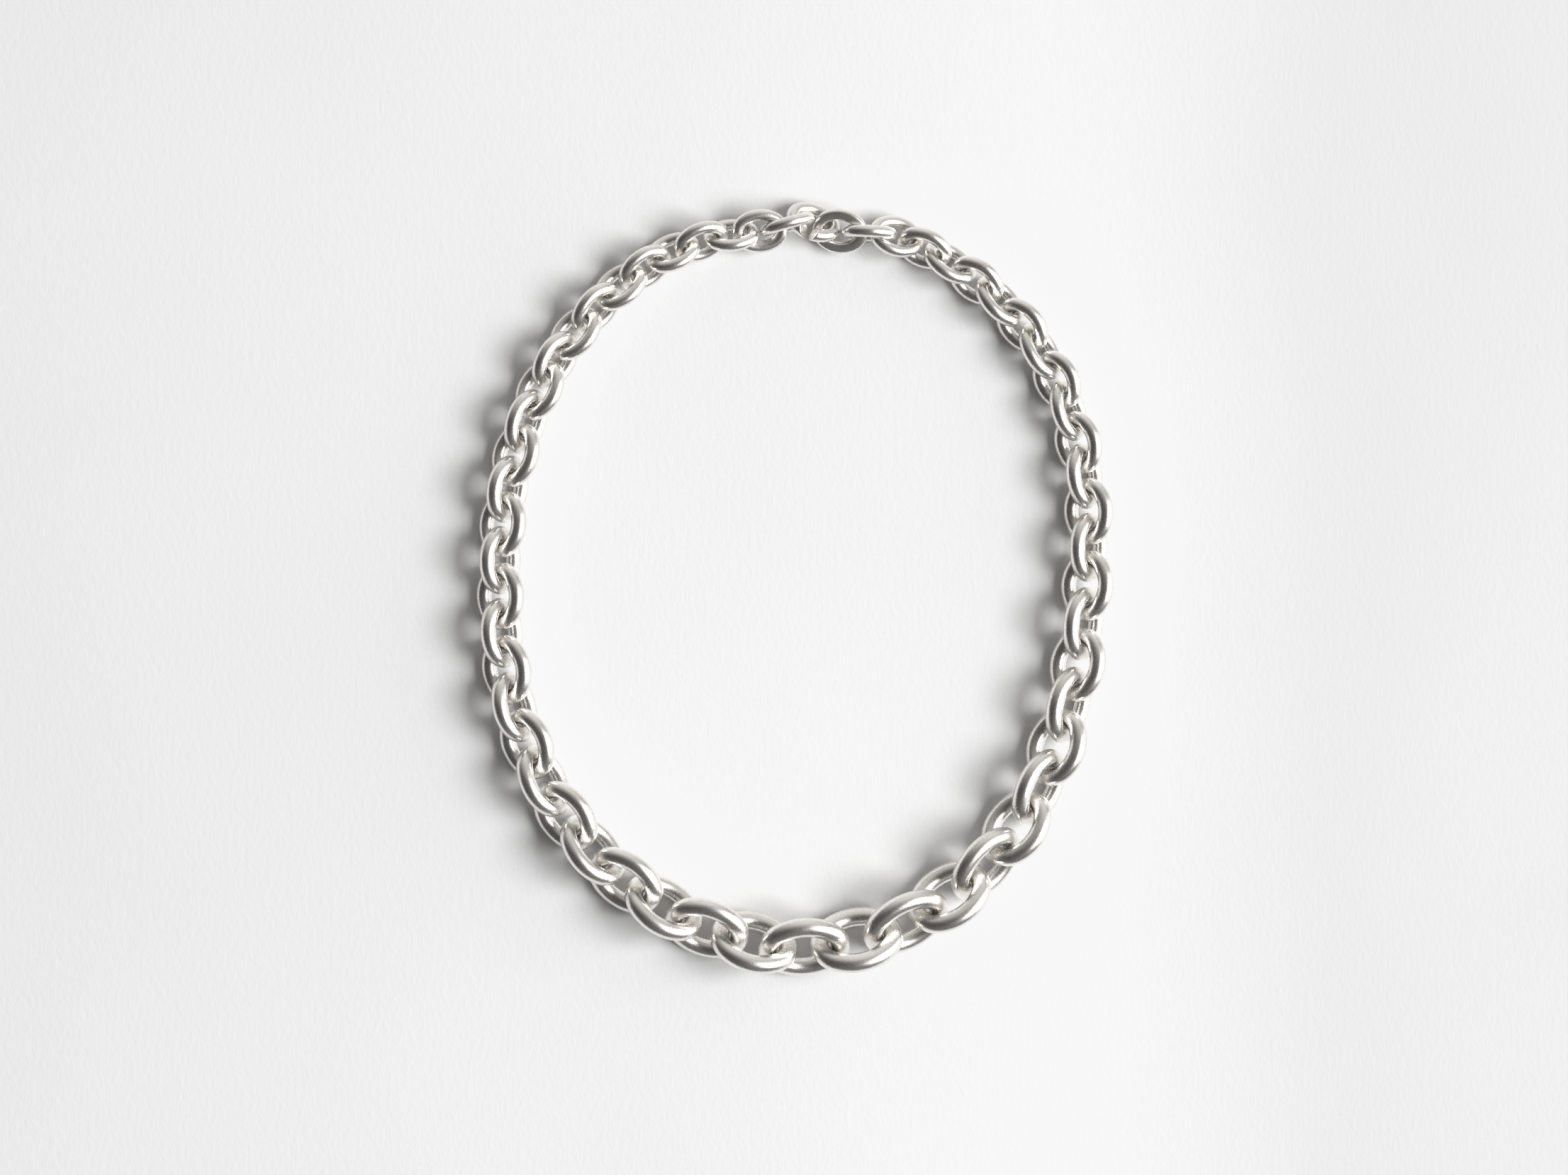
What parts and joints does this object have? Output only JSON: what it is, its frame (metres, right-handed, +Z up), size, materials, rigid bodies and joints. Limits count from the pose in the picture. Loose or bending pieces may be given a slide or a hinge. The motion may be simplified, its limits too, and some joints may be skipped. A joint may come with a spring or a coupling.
{
  "type": "link chain necklace",
  "caption": "Closed necklace of interlocking oval links in thick round silver wire, graduated from large at the front to small at the clasp link behind the neck.",
  "frame": {"origin": "middle of the loop, on the surface that the necklace lies on", "axes": "+Z up from the surface, +Y from the large front link towards the clasp link at the back of the neck, +X towards the side with the tag link"},
  "size_m": [0.1382, 0.167, 0.0124],
  "materials": {
    "silver": "satin silver with a fine grain"
  },
  "bodies": {
    "root": {"chain_left": "silver", "chain_right": "silver", "clasp_link": "silver", "tag_link": "silver"}
  },
  "joints": []
}
